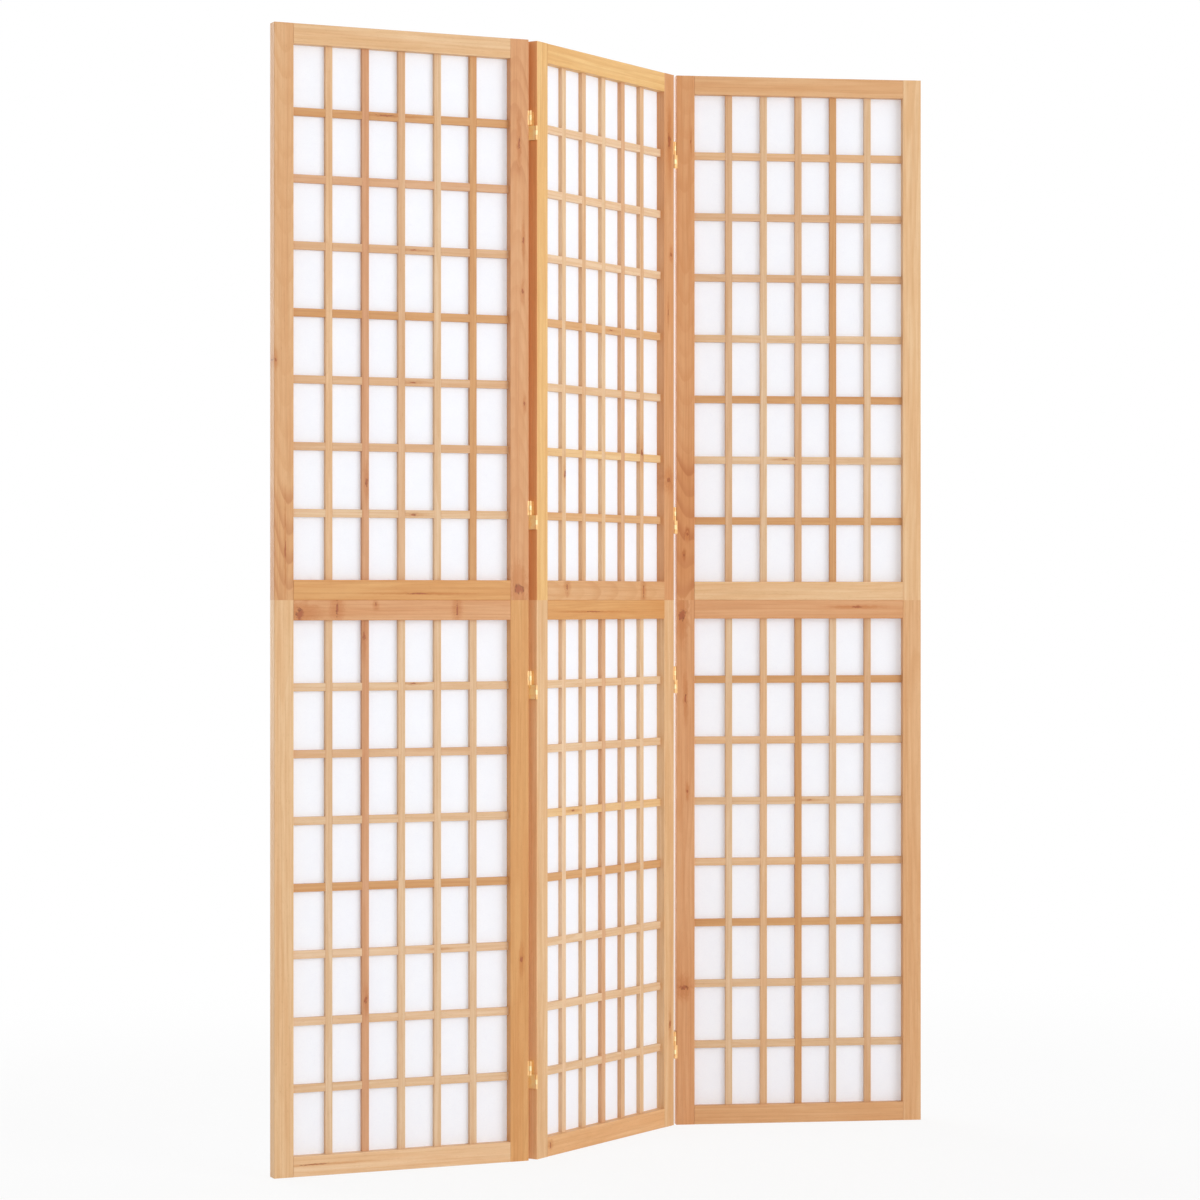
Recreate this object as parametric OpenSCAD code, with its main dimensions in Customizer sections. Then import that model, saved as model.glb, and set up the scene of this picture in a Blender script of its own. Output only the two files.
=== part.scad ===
// Folding screen of three panels, each with an upper and a lower lattice frame.
// Softwood frames hold half-lapped bars with white paper glued behind them.
// Brass double-action hinges let every fold swing to the front or to the back.
// The origin is the middle of the middle panel's foot, +X runs along that panel,
// and -Y is the front, where the bars show.

/* [Panels] */
// Width of one panel over its two stiles
panel_w = 405; // [330:5:600]
// Height of one half frame, two of which stand on each other
half_h = 850; // [600:10:1000]
// Thickness of the frame from front to back
frame_t = 20; // [18:0.5:30]
// Face width of the stiles
stile_w = 30; // [26:1:50]
// Face width of the rails
rail_w = 30; // [28:1:50]
// Radius of the eased long edges of the frame
edge_r = 1; // [0.5:0.1:1.4]

/* [Frame joints] */
// Length of the tenon on each rail's end
tenon_l = 18; // [10:1:22]
// Thickness of the tenon from front to back
tenon_t = 6; // [4:0.5:7]
// Height of the tenon
tenon_h = 20; // [12:1:20]
// Gap all round a tenon, a bar's end or a half lap
joint_fit = 0.05; // [0.02:0.01:0.1]
// Space past the end of a tenon, a dowel or a bar's end
end_room = 0.5; // [0.3:0.1:1]

/* [Lattice] */
// Number of cells across a frame
cells_across = 6; // [3:1:7]
// Number of cells up a frame
cells_up = 8; // [4:1:10]
// Face width of the upright bars
upright_w = 11; // [7:0.5:14]
// Face width of the cross bars
cross_w = 12; // [7:0.5:14]
// Thickness of both kinds of bar
bar_t = 7; // [5:0.5:8]
// Depth of the bars' faces behind the frame's face
bar_set_back = 7.5; // [5:0.5:8]
// Length of the bar's end that is let into the frame
bar_stub = 5; // [3:0.5:6]
// Chamfer along the front edges of the bars
bar_ease = 0.4; // [0.2:0.1:0.8]

/* [Paper] */
// Thickness of the paper
paper_t = 0.3; // [0.2:0.1:0.6]
// Width of the rebate behind the frame that the paper is glued to
rebate_w = 7; // [6.5:0.5:9]
// Space between the paper's edge and the rebate's wall
paper_room = 0.5; // [0.3:0.1:1]

/* [Dowels between the halves] */
// Diameter of the dowels
dowel_d = 8; // [6:0.5:10]
// Length of the dowels, half of it in each rail
dowel_l = 40; // [24:1:46]
// Distance of the outer dowels from the stiles
dowel_inset = 57.5; // [20:0.5:90]
// Chamfer at the dowels' ends
dowel_ease = 1; // [0.5:0.1:2]

/* [Hinges] */
// Height of a hinge
hinge_h = 43; // [36:1:70]
// Distance of a hinge's centre from the nearer end of its half frame
hinge_end = 129; // [80:1:200]
// Gap between two panels that stand in line
fold_gap = 4.8; // [4.2:0.1:6]
// Distance of the pins' axes outside the panels' faces
pin_out = 0.2; // [0.2:0.1:0.8]
// Outer diameter of the knuckles
knuckle_d = 4; // [3.4:0.1:4.4]
// Diameter of the pins
pin_d = 1.8; // [1.4:0.1:2]
// Radial running clearance round the pins
pin_fit = 0.05; // [0.02:0.01:0.08]
// Gap between neighbouring knuckles along a pin
knuckle_gap = 0.2; // [0.1:0.05:0.4]
// Thickness of the links that cross from one leaf to the other
link_t = 1.2; // [0.8:0.1:1.6]
// Gap between a link's web and the knuckles beside it
link_room = 0.3; // [0.2:0.1:0.5]
// Depth of the notches that take a leaf in the stile's edge
notch_depth = 1.8; // [1.7:0.1:3.5]
// Thickness of a leaf
leaf_t = 1.6; // [1.5:0.1:2]
// Distance that each half of a leaf stops short of the face it has no pin at
leaf_short = 6; // [3:0.5:7]
// Space round a leaf in its notches
notch_room = 0.2; // [0.1:0.1:0.5]

/* [Screws] */
// Diameter of the screws' shanks
screw_d = 2.6; // [2:0.1:3]
// Diameter of the countersunk heads
screw_head_d = 5.4; // [4.6:0.1:5.6]
// Depth of the countersunk heads
screw_head_h = 1.4; // [1.2:0.1:1.5]
// Length of the screws with their heads
screw_l = 14; // [10:1:16]
// Height of the straight rim of the heads
screw_rim = 0.1; // [0.05:0.05:0.3]
// Distance of a screw from the middle of the frame's thickness
screw_off = 2.5; // [1:0.5:3]
// Radial gap round a screw
screw_fit = 0.05; // [0.02:0.01:0.1]

/* [Pose] */
// Fold between the left and the middle panel, backwards
left_fold = 34; // [20:1:60]
// Fold between the middle and the right panel, forwards
right_fold = 50; // [20:1:60]

/* [Hidden] */
WOOD = [0.88, 0.70, 0.50];
BAR_WOOD = [0.84, 0.64, 0.42];
PAPER = [0.96, 0.96, 0.97];
BRASS = [0.85, 0.68, 0.34];
STEEL = [0.72, 0.70, 0.62];

$fn = 48;
cut = 0.01;

// Opening of a half frame and the depths behind its face
open_w = panel_w - 2 * stile_w;
open_h = half_h - 2 * rail_w;
face_y = -frame_t / 2;
bar_y = face_y + bar_set_back;
paper_y = bar_y + bar_t;
back_y = frame_t / 2;

// Division of the lattice, from one bar's middle to the next
pitch_x = open_w / cells_across;
pitch_z = open_h / cells_up;
upright_x = [for (i = [1 : cells_across - 1]) (i - cells_across / 2) * pitch_x];
cross_z = [for (i = [1 : cells_up - 1]) half_h / 2 + (i - cells_up / 2) * pitch_z];

// Places of the hinges and the dowels
hinge_z = [hinge_end, half_h - hinge_end, half_h + hinge_end, 2 * half_h - hinge_end];
dowel_x = [for (i = [-1 : 1]) i * (open_w / 2 - dowel_inset)];
dowel_depth = dowel_l / 2 + end_room;

// Hinge, measured from the middle of the gap between two panels
pin_y = frame_t / 2 + pin_out;
knuckle_r = knuckle_d / 2;
notch_x = fold_gap / 2 + notch_depth;
leaf_x = notch_x - leaf_t;
arm_t = knuckle_r - pin_out;
half_hinge = hinge_h / 2;
knuckle_h = (half_hinge - 2.5 * knuckle_gap) / 3;
knuckle_z = [for (i = [0 : 2]) knuckle_gap / 2 + i * (knuckle_h + knuckle_gap)];
joint_x = panel_w / 2 + fold_gap / 2;

// Box between two corners
module box(low, high) {
    translate(low) cube(high - low);
}

// Rectangle about the origin with eased corners
module eased_section(w, h) {
    square([w - 2 * edge_r, h], center = true);
    square([w, h - 2 * edge_r], center = true);
    for (x = [-1, 1], y = [-1, 1])
        translate([x * (w / 2 - edge_r), y * (h / 2 - edge_r)]) circle(edge_r);
}

// Section of a bar with chamfered front edges, from its face at y = 0 to its back
module bar_section(w) {
    polygon([
        [-w / 2 + bar_ease, 0], [w / 2 - bar_ease, 0], [w / 2, bar_ease],
        [w / 2, bar_t], [-w / 2, bar_t], [-w / 2, bar_ease]
    ]);
}

// Where a panel stands: side is -1 for the left one, 0 for the middle, 1 for the right
module panel_place(side) {
    turn = side < 0 ? -left_fold : -right_fold;
    if (side == 0)
        children();
    else
        translate([side * joint_x, -side * pin_y, 0])
            rotate([0, 0, turn])
                translate([side * joint_x, side * pin_y, 0])
                    children();
}

// Where a half frame stands in its panel
module half_place(side, upper) {
    panel_place(side) translate([0, 0, upper ? half_h : 0]) children();
}

// Notch for the upper half of the leaf in a right stile, with its screw hole.
// It is open to the front, where the knuckles are, and stopped short of the back.
module leaf_notch() {
    notch_floor = panel_w / 2 - notch_depth;
    box(
        [notch_floor, face_y - cut, -cut],
        [panel_w / 2 + cut, back_y - leaf_short + notch_room, half_hinge + notch_room]
    );
    translate([notch_floor + cut, -screw_off, half_hinge / 2])
        rotate([0, -90, 0])
            cylinder(r = screw_d / 2 + screw_fit, h = screw_l - leaf_t + end_room);
}

// Stile of a half frame, on the right when side is 1 and on the left when it is -1.
// A hinged stile has two notches at each hinge, the lower one turned front to back.
module stile(side, hinged) {
    inner = open_w / 2;
    color(WOOD) mirror([side < 0 ? 1 : 0, 0, 0]) difference() {
        translate([inner + stile_w / 2, 0, 0]) linear_extrude(half_h) eased_section(stile_w, frame_t);
        for (z = [rail_w / 2, half_h - rail_w / 2])
            box(
                [inner - cut, -tenon_t / 2 - joint_fit, z - tenon_h / 2 - joint_fit],
                [inner + tenon_l + end_room, tenon_t / 2 + joint_fit, z + tenon_h / 2 + joint_fit]
            );
        box(
            [inner - cut, paper_y, rail_w - rebate_w],
            [inner + rebate_w, back_y + cut, half_h - rail_w + rebate_w]
        );
        for (z = cross_z)
            box(
                [inner - cut, bar_y - joint_fit, z - cross_w / 2 - joint_fit],
                [inner + bar_stub + end_room, paper_y + cut, z + cross_w / 2 + joint_fit]
            );
        if (hinged)
            for (z = [hinge_end, half_h - hinge_end], i = [-1, 1])
                translate([0, 0, z])
                    mirror([0, side * i < 0 ? 1 : 0, 0])
                        mirror([0, 0, i < 0 ? 1 : 0])
                            leaf_notch();
    }
}

// Rail between the stiles, from z = 0 to rail_w, with the lattice above it.
// A joining rail has dowel holes in its other edge.
module bottom_rail(joining) {
    color(WOOD) difference() {
        union() {
            translate([-open_w / 2, 0, rail_w / 2])
                rotate([90, 0, 90])
                    linear_extrude(open_w) eased_section(frame_t, rail_w);
            for (x = [-1, 1])
                translate([x * (open_w + tenon_l - cut) / 2, 0, rail_w / 2])
                    cube([tenon_l + cut, tenon_t, tenon_h], center = true);
        }
        box(
            [-open_w / 2 - cut, paper_y, rail_w - rebate_w],
            [open_w / 2 + cut, back_y + cut, rail_w + cut]
        );
        for (x = upright_x)
            box(
                [x - upright_w / 2 - joint_fit, bar_y - joint_fit, rail_w - bar_stub - end_room],
                [x + upright_w / 2 + joint_fit, paper_y + cut, rail_w + cut]
            );
        if (joining)
            for (x = dowel_x)
                translate([x, 0, -cut]) cylinder(r = dowel_d / 2 + joint_fit, h = dowel_depth + cut);
    }
}

// The same rail at the top of a half frame, with the lattice below it
module top_rail(joining) {
    translate([0, 0, half_h]) mirror([0, 0, 1]) bottom_rail(joining);
}

// Upright bars, which run unbroken at the front and are halved at the back
module upright_bars() {
    color(BAR_WOOD) for (x = upright_x)
        difference() {
            translate([x, bar_y, rail_w - bar_stub])
                linear_extrude(open_h + 2 * bar_stub) bar_section(upright_w);
            for (z = cross_z)
                box(
                    [x - upright_w / 2 - cut, bar_y + bar_t / 2, z - cross_w / 2 - joint_fit],
                    [x + upright_w / 2 + cut, paper_y + cut, z + cross_w / 2 + joint_fit]
                );
        }
}

// Cross bars, halved at the front where the upright bars pass
module cross_bars() {
    bar_l = open_w + 2 * bar_stub;
    color(BAR_WOOD) for (z = cross_z)
        difference() {
            translate([-bar_l / 2, bar_y, z]) rotate([0, 90, 0]) linear_extrude(bar_l) bar_section(cross_w);
            for (x = upright_x)
                box(
                    [x - upright_w / 2 - joint_fit, bar_y - cut, z - cross_w / 2 - cut],
                    [x + upright_w / 2 + joint_fit, bar_y + bar_t / 2, z + cross_w / 2 + cut]
                );
        }
}

// Paper on the backs of the bars, glued to the rebate's floor all round
module paper() {
    reach = rebate_w - paper_room;
    color(PAPER) box(
        [-open_w / 2 - reach, paper_y, rail_w - reach],
        [open_w / 2 + reach, paper_y + paper_t, half_h - rail_w + reach]
    );
}

// Dowels that hold the upper frame of a panel on the lower one
module dowels(side) {
    color(WOOD) panel_place(side) for (x = dowel_x)
        translate([x, 0, half_h]) dowel();
}

// Dowel about the origin with chamfered ends
module dowel() {
    straight = dowel_l - 2 * dowel_ease;
    cylinder(d = dowel_d, h = straight, center = true);
    for (i = [0, 1])
        mirror([0, 0, i]) translate([0, 0, straight / 2])
            cylinder(d1 = dowel_d, d2 = dowel_d - 2 * dowel_ease, h = dowel_ease);
}

// Upper half of the leaf on the left of a fold, with its two knuckles on the front pin
module leaf_half() {
    difference() {
        union() {
            box([-notch_x, face_y, 0], [-leaf_x, back_y - leaf_short, half_hinge]);
            for (z = [knuckle_z[0], knuckle_z[2]]) {
                box([-leaf_x - cut, face_y, z], [0, face_y + arm_t, z + knuckle_h]);
                translate([0, -pin_y, z]) cylinder(r = knuckle_r, h = knuckle_h);
            }
        }
        translate([0, -pin_y, -cut]) cylinder(r = pin_d / 2 + pin_fit, h = half_hinge + 2 * cut);
        translate([-leaf_x, -screw_off, half_hinge / 2]) rotate([0, -90, 0]) {
            translate([0, 0, -cut]) cylinder(r = screw_head_d / 2 + screw_fit, h = screw_rim + cut);
            translate([0, 0, screw_rim]) screw_cone(screw_fit);
            cylinder(r = screw_d / 2 + screw_fit, h = leaf_t + cut);
        }
    }
}

// Taper under a screw's head, grown by room all round
module screw_cone(room) {
    cylinder(r1 = screw_head_d / 2 + room, r2 = screw_d / 2 + room, h = screw_head_h - screw_rim);
}

// Leaf on the left of a fold: front pin in its upper half, back pin in its lower half
module left_leaf() {
    color(BRASS) {
        leaf_half();
        rotate([180, 0, 0]) leaf_half();
    }
}

// The same leaf on the right of a fold, so its upper half holds the back pin
module right_leaf() {
    rotate([0, 0, 180]) left_leaf();
}

// Link in the upper half of a hinge. It joins the left leaf's front pin
// to the right leaf's back pin, and its web is cut back beside the leaves' knuckles.
module upper_link() {
    web_y = pin_y - knuckle_r - link_room;
    color(BRASS) difference() {
        union() {
            box([-link_t / 2, -web_y, knuckle_z[0]], [link_t / 2, web_y, half_hinge]);
            box([-link_t / 2, -pin_y, knuckle_z[1]], [link_t / 2, pin_y, knuckle_z[1] + knuckle_h]);
            for (y = [-pin_y, pin_y])
                translate([0, y, knuckle_z[1]]) cylinder(r = knuckle_r, h = knuckle_h);
        }
        for (y = [-pin_y, pin_y])
            translate([0, y, 0]) cylinder(r = pin_d / 2 + pin_fit, h = half_hinge);
    }
}

// Link in the lower half, from the left leaf's back pin to the right leaf's front pin
module lower_link() {
    mirror([0, 0, 1]) upper_link();
}

// The two pins in a left leaf: upper front and lower back
module left_leaf_pins() {
    color(STEEL) for (turn = [0, 180])
        rotate([turn, 0, 0]) translate([0, -pin_y, knuckle_z[0]])
            cylinder(d = pin_d, h = half_hinge - knuckle_z[0]);
}

// The two pins in a right leaf: upper back and lower front
module right_leaf_pins() {
    rotate([0, 0, 180]) left_leaf_pins();
}

// Countersunk screws of a left leaf, driven from the gap into the stile
module left_leaf_screws() {
    color(STEEL) for (i = [-1, 1])
        translate([-leaf_x, -i * screw_off, i * half_hinge / 2]) rotate([0, -90, 0]) {
            cylinder(d = screw_head_d, h = screw_rim);
            translate([0, 0, screw_rim]) screw_cone(0);
            cylinder(d = screw_d, h = screw_l - screw_d);
            translate([0, 0, screw_l - screw_d]) cylinder(d1 = screw_d, d2 = screw_d / 4, h = screw_d);
        }
}

// Countersunk screws of a right leaf
module right_leaf_screws() {
    rotate([0, 0, 180]) left_leaf_screws();
}

// All hinges along one edge of a panel: side is -1 for its left edge and 1 for its right
module at_hinges(panel, side) {
    panel_place(panel) for (z = hinge_z)
        translate([side * joint_x, 0, z]) children();
}

half_place(-1, true) stile(-1, false);  // left_upper_left_stile
half_place(-1, true) stile(1, true);  // left_upper_right_stile
half_place(-1, true) top_rail(false);  // left_upper_top_rail
half_place(-1, true) bottom_rail(true);  // left_upper_bottom_rail
half_place(-1, true) upright_bars();  // left_upper_upright_bars
half_place(-1, true) cross_bars();  // left_upper_cross_bars
half_place(-1, true) paper();  // left_upper_paper

half_place(-1, false) stile(-1, false);  // left_lower_left_stile
half_place(-1, false) stile(1, true);  // left_lower_right_stile
half_place(-1, false) top_rail(true);  // left_lower_top_rail
half_place(-1, false) bottom_rail(false);  // left_lower_bottom_rail
half_place(-1, false) upright_bars();  // left_lower_upright_bars
half_place(-1, false) cross_bars();  // left_lower_cross_bars
half_place(-1, false) paper();  // left_lower_paper

dowels(-1);  // left_dowels

half_place(0, true) stile(-1, true);  // middle_upper_left_stile
half_place(0, true) stile(1, true);  // middle_upper_right_stile
half_place(0, true) top_rail(false);  // middle_upper_top_rail
half_place(0, true) bottom_rail(true);  // middle_upper_bottom_rail
half_place(0, true) upright_bars();  // middle_upper_upright_bars
half_place(0, true) cross_bars();  // middle_upper_cross_bars
half_place(0, true) paper();  // middle_upper_paper

half_place(0, false) stile(-1, true);  // middle_lower_left_stile
half_place(0, false) stile(1, true);  // middle_lower_right_stile
half_place(0, false) top_rail(true);  // middle_lower_top_rail
half_place(0, false) bottom_rail(false);  // middle_lower_bottom_rail
half_place(0, false) upright_bars();  // middle_lower_upright_bars
half_place(0, false) cross_bars();  // middle_lower_cross_bars
half_place(0, false) paper();  // middle_lower_paper

dowels(0);  // middle_dowels

half_place(1, true) stile(-1, true);  // right_upper_left_stile
half_place(1, true) stile(1, false);  // right_upper_right_stile
half_place(1, true) top_rail(false);  // right_upper_top_rail
half_place(1, true) bottom_rail(true);  // right_upper_bottom_rail
half_place(1, true) upright_bars();  // right_upper_upright_bars
half_place(1, true) cross_bars();  // right_upper_cross_bars
half_place(1, true) paper();  // right_upper_paper

half_place(1, false) stile(-1, true);  // right_lower_left_stile
half_place(1, false) stile(1, false);  // right_lower_right_stile
half_place(1, false) top_rail(true);  // right_lower_top_rail
half_place(1, false) bottom_rail(false);  // right_lower_bottom_rail
half_place(1, false) upright_bars();  // right_lower_upright_bars
half_place(1, false) cross_bars();  // right_lower_cross_bars
half_place(1, false) paper();  // right_lower_paper

dowels(1);  // right_dowels

at_hinges(-1, 1) left_leaf();  // left_fold_outer_leaves
at_hinges(-1, 1) upper_link();  // left_fold_upper_links
at_hinges(-1, 1) left_leaf_pins();  // left_fold_outer_pins
at_hinges(0, -1) right_leaf();  // left_fold_inner_leaves
at_hinges(0, -1) lower_link();  // left_fold_lower_links
at_hinges(0, -1) right_leaf_pins();  // left_fold_inner_pins
at_hinges(0, 1) left_leaf();  // right_fold_inner_leaves
at_hinges(0, 1) lower_link();  // right_fold_lower_links
at_hinges(0, 1) left_leaf_pins();  // right_fold_inner_pins
at_hinges(1, -1) right_leaf();  // right_fold_outer_leaves
at_hinges(1, -1) upper_link();  // right_fold_upper_links
at_hinges(1, -1) right_leaf_pins();  // right_fold_outer_pins
at_hinges(-1, 1) left_leaf_screws();  // left_screws
union() {  // middle_screws
    at_hinges(0, -1) right_leaf_screws();
    at_hinges(0, 1) left_leaf_screws();
}
at_hinges(1, -1) right_leaf_screws();  // right_screws
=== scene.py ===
import bpy
import math
import random
from mathutils import Matrix, Vector


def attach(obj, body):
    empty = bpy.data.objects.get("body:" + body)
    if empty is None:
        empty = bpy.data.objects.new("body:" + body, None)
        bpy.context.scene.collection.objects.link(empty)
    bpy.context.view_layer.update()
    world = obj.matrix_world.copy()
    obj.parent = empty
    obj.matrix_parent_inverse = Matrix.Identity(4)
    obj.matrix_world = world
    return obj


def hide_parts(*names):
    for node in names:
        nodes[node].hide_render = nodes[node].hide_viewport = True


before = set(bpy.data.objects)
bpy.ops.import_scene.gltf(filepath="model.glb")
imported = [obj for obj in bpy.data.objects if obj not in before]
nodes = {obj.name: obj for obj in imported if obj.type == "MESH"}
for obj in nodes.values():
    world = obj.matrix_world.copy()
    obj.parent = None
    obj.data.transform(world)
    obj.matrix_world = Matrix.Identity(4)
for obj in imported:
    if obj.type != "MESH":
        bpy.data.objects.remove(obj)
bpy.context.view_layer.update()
print("frame loaded:", len(nodes), "nodes")

# Sizes of the screen as it is packed, in metres, and its folds in degrees.
# Panel coordinates run along the panel, from front to back, and up from its foot.
screen = {
    "panelWidth": 0.405,
    "halfHeight": 0.850,
    "thickness": 0.020,
    "memberWidth": 0.030,
    "cellsAcross": 6,
    "cellsUp": 8,
    "uprightWidth": 0.011,
    "crossWidth": 0.012,
    "barBack": 0.0045,
    "barThickness": 0.007,
    "paperReach": 0.0065,
    "foldX": 0.2049,
    "foldY": 0.0102,
    "leftFold": 34,
    "rightFold": 50,
}
openWidth = screen["panelWidth"] - 2 * screen["memberWidth"]
openHeight = screen["halfHeight"] - 2 * screen["memberWidth"]
pitchAcross = openWidth / screen["cellsAcross"]
pitchUp = openHeight / screen["cellsUp"]


def panelPlace(panel):
    if panel == "middle":
        return Matrix.Identity(4)
    side, fold = (-1, screen["leftFold"]) if panel == "left" else (1, screen["rightFold"])
    pin = Vector((side * screen["foldX"], -side * screen["foldY"], 0))
    swing = Matrix.Rotation(math.radians(-fold), 4, "Z")
    turned = Matrix.Translation(pin) @ swing @ Matrix.Translation(-pin)
    return turned @ Matrix.Translation((side * 2 * screen["foldX"], 0, 0))


def halfMiddle(half):
    return screen["halfHeight"] * (1.5 if half == "upper" else 0.5)


# Small helpers for node trees
def linear(red, green, blue):
    spread = [v / 255 for v in (red, green, blue)]
    return tuple(v / 12.92 if v <= 0.04045 else ((v + 0.055) / 1.055) ** 2.4 for v in spread) + (1.0,)


def addNode(tree, kind, **settings):
    node = tree.nodes.new(kind)
    for name, value in settings.items():
        setattr(node, name, value)
    return node


def feed(tree, socket, value):
    if isinstance(value, bpy.types.NodeSocket):
        tree.links.new(value, socket)
    elif value is not None:
        socket.default_value = value


def fedNode(tree, kind, inputs, **settings):  # a new node with values or links on its named inputs
    node = addNode(tree, kind, **settings)
    for label, value in inputs.items():
        feed(tree, node.inputs[label], value)
    return node


def calculate(tree, operation, *values, clamp=False):
    node = addNode(tree, "ShaderNodeMath", operation=operation, use_clamp=clamp)
    for socket, value in zip(node.inputs, values):
        feed(tree, socket, value)
    return node.outputs[0]


def vectorMath(tree, operation, *values, output="Vector"):
    node = addNode(tree, "ShaderNodeVectorMath", operation=operation)
    for socket, value in zip(node.inputs, values):
        feed(tree, socket, value)
    return node.outputs[output]


def smoothStep(tree, value, start, end, low=0.0, high=1.0):
    node = addNode(tree, "ShaderNodeMapRange", interpolation_type="SMOOTHSTEP")
    for socket, given in zip(node.inputs, (value, start, end, low, high)):
        feed(tree, socket, given)
    return node.outputs[0]


def parted(tree, vector):  # x, y and z of a vector
    return fedNode(tree, "ShaderNodeSeparateXYZ", {"Vector": vector}).outputs


def diagonal(tree, first, second):  # length of two ways that stand square to each other
    squares = [calculate(tree, "MULTIPLY", way, way) for way in (first, second)]
    return calculate(tree, "SQRT", calculate(tree, "ADD", *squares))


def softNoise(tree, vector, detail=2.0, distortion=0.0):
    given = {"Vector": vector, "Scale": 1.0, "Detail": detail, "Distortion": distortion}
    return fedNode(tree, "ShaderNodeTexNoise", given).outputs[0]


def stretched(tree, vector, across, along, shift):
    scaled = vectorMath(tree, "MULTIPLY", vector, (across, across, along))
    return vectorMath(tree, "ADD", scaled, shift)


def mixColour(tree, share, first, second, blend="MIX"):  # 0, 6 and 7 are the inputs of a colour mix
    given = {0: share, 6: first, 7: second}
    return fedNode(tree, "ShaderNodeMix", given, data_type="RGBA", blend_type=blend).outputs[2]


def newGroup(name, inputs, outputs):
    tree = bpy.data.node_groups.new(name, "ShaderNodeTree")
    for label, kind, value in inputs:
        socket = tree.interface.new_socket(label, in_out="INPUT", socket_type="NodeSocket" + kind)
        if value is not None:
            socket.default_value = value
    for label, kind in outputs:
        tree.interface.new_socket(label, in_out="OUTPUT", socket_type="NodeSocket" + kind)
    return tree, tree.nodes.new("NodeGroupInput").outputs, tree.nodes.new("NodeGroupOutput").inputs


def useGroup(tree, group, **values):
    given = {label.replace("_", " "): value for label, value in values.items()}
    return fedNode(tree, "ShaderNodeGroup", given, node_tree=group).outputs


# Growth rings: how far behind the board the pith lies, the slow and quick waves that bend the rings
# (scales across and along, detail, and how far they bend), where the latewood starts, is full and ends
# within a ring, and the least share of a year's colour
ringShape = {
    "pithBehind": 0.014,
    "pithSpread": 0.045,
    "slowWave": (9.0, 2.4, 1.0, 0.022),
    "quickWave": (70.0, 9.0, 2.0, 0.0016),
    "late": (0.30, 0.86),
    "lateEnd": (1.0, 0.90),
    "leastShare": 0.4,
    "seedShift": (71.0, 53.0, 37.0),
    "yearShift": 7.3,
}
# Finer figure: scales of its noise across and along the board, detail, distortion,
# and the two values between which the mask rises
grainMasks = {
    "Fibre": (1500.0, 24.0, 3.0, 0.0, 0.25, 0.75),
    "Streak": (330.0, 5.0, 2.0, 0.3, 0.46, 0.66),
    "Drift": (92.0, 4.4, 2.0, 0.4, 0.30, 0.72),
    "Mottle": (75.0, 26.0, 2.0, 0.8, 0.34, 0.68),
    "Fleck": (2300.0, 130.0, 1.0, 0.0, 0.66, 0.74),
}


# Growth rings and fibres of a softwood board whose grain runs along Z
def makeGrain():
    tree, given, result = newGroup(
        "softwoodGrain",
        [("Vector", "Vector", None), ("Seed", "Float", 0.0), ("Ring Spacing", "Float", 0.0024),
         ("Taper", "Float", 0.0), ("Pith", "Float", 0.0), ("Wander", "Float", 0.05), ("Flow", "Float", 0.0)],
        [(name, "Float") for name in ("Rings", *grainMasks)],
    )
    board, seed = given["Vector"], given["Seed"]
    chance = fedNode(tree, "ShaderNodeTexWhiteNoise", {"W": seed}, noise_dimensions="1D").outputs["Color"]
    shares = fedNode(tree, "ShaderNodeSeparateColor", {"Color": chance}).outputs
    aside, tilt = (calculate(tree, "SUBTRACT", shares[index], 0.5) for index in (0, 2))
    pithX = calculate(tree, "MULTIPLY_ADD", aside, given["Wander"], given["Pith"])
    pithY = calculate(tree, "MULTIPLY_ADD", shares[1], ringShape["pithSpread"], ringShape["pithBehind"])
    lean = calculate(tree, "MULTIPLY", tilt, given["Wander"])
    shift = vectorMath(tree, "MULTIPLY", chance, ringShape["seedShift"])
    x, y, z = parted(tree, board)
    x = calculate(tree, "SUBTRACT", x, calculate(tree, "MULTIPLY_ADD", z, lean, pithX))
    radius = diagonal(tree, x, calculate(tree, "SUBTRACT", y, pithY))
    for across, along, detail, bend in (ringShape["slowWave"], ringShape["quickWave"]):
        wave = softNoise(tree, stretched(tree, board, across, along, shift), detail)
        radius = calculate(tree, "MULTIPLY_ADD", wave, bend, radius)
    radius = calculate(tree, "MULTIPLY_ADD", z, given["Taper"], radius)
    radius = calculate(tree, "ADD", radius, given["Flow"])
    turns = calculate(tree, "DIVIDE", radius, given["Ring Spacing"])
    firstYear = calculate(tree, "MULTIPLY", seed, ringShape["yearShift"])
    year = calculate(tree, "ADD", calculate(tree, "FLOOR", turns), firstYear)
    yearly = fedNode(tree, "ShaderNodeTexWhiteNoise", {"W": year}, noise_dimensions="1D").outputs["Value"]
    within = calculate(tree, "FRACT", turns)
    steps = (smoothStep(tree, within, *ringShape[label]) for label in ("late", "lateEnd"))
    late = calculate(tree, "MULTIPLY", *steps)
    least = ringShape["leastShare"]
    share = calculate(tree, "MULTIPLY_ADD", yearly, 1 - least, least)
    feed(tree, result["Rings"], calculate(tree, "MULTIPLY", late, share))
    for label, (across, along, detail, distortion, start, end) in grainMasks.items():
        noise = softNoise(tree, stretched(tree, board, across, along, shift), detail, distortion)
        feed(tree, result[label], smoothStep(tree, noise, start, end))
    return tree


# A knot: how much two noises bend it and their scales, where its core, its dark rim and its halo lie, in
# knot sizes, where the rim breaks up, how far the halo runs along the grain, and how far the rings are
# pushed aside
knotShape = {
    "swirl": 2.4,
    "swirlScale": (190.0, 60.0, 120.0),
    "ragged": 1.2,
    "raggedScale": (420.0, 60.0, 260.0),
    "roughEdge": 0.7,
    "core": (1.15, 0.45),
    "rimInside": (0.45, 0.85),
    "rimOutside": (1.3, 0.9),
    "rimPatches": (0.46, 0.62),
    "halo": (3.0, 0.7),
    "haloStretch": 2.6,
    "push": 1.3,
}


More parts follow.
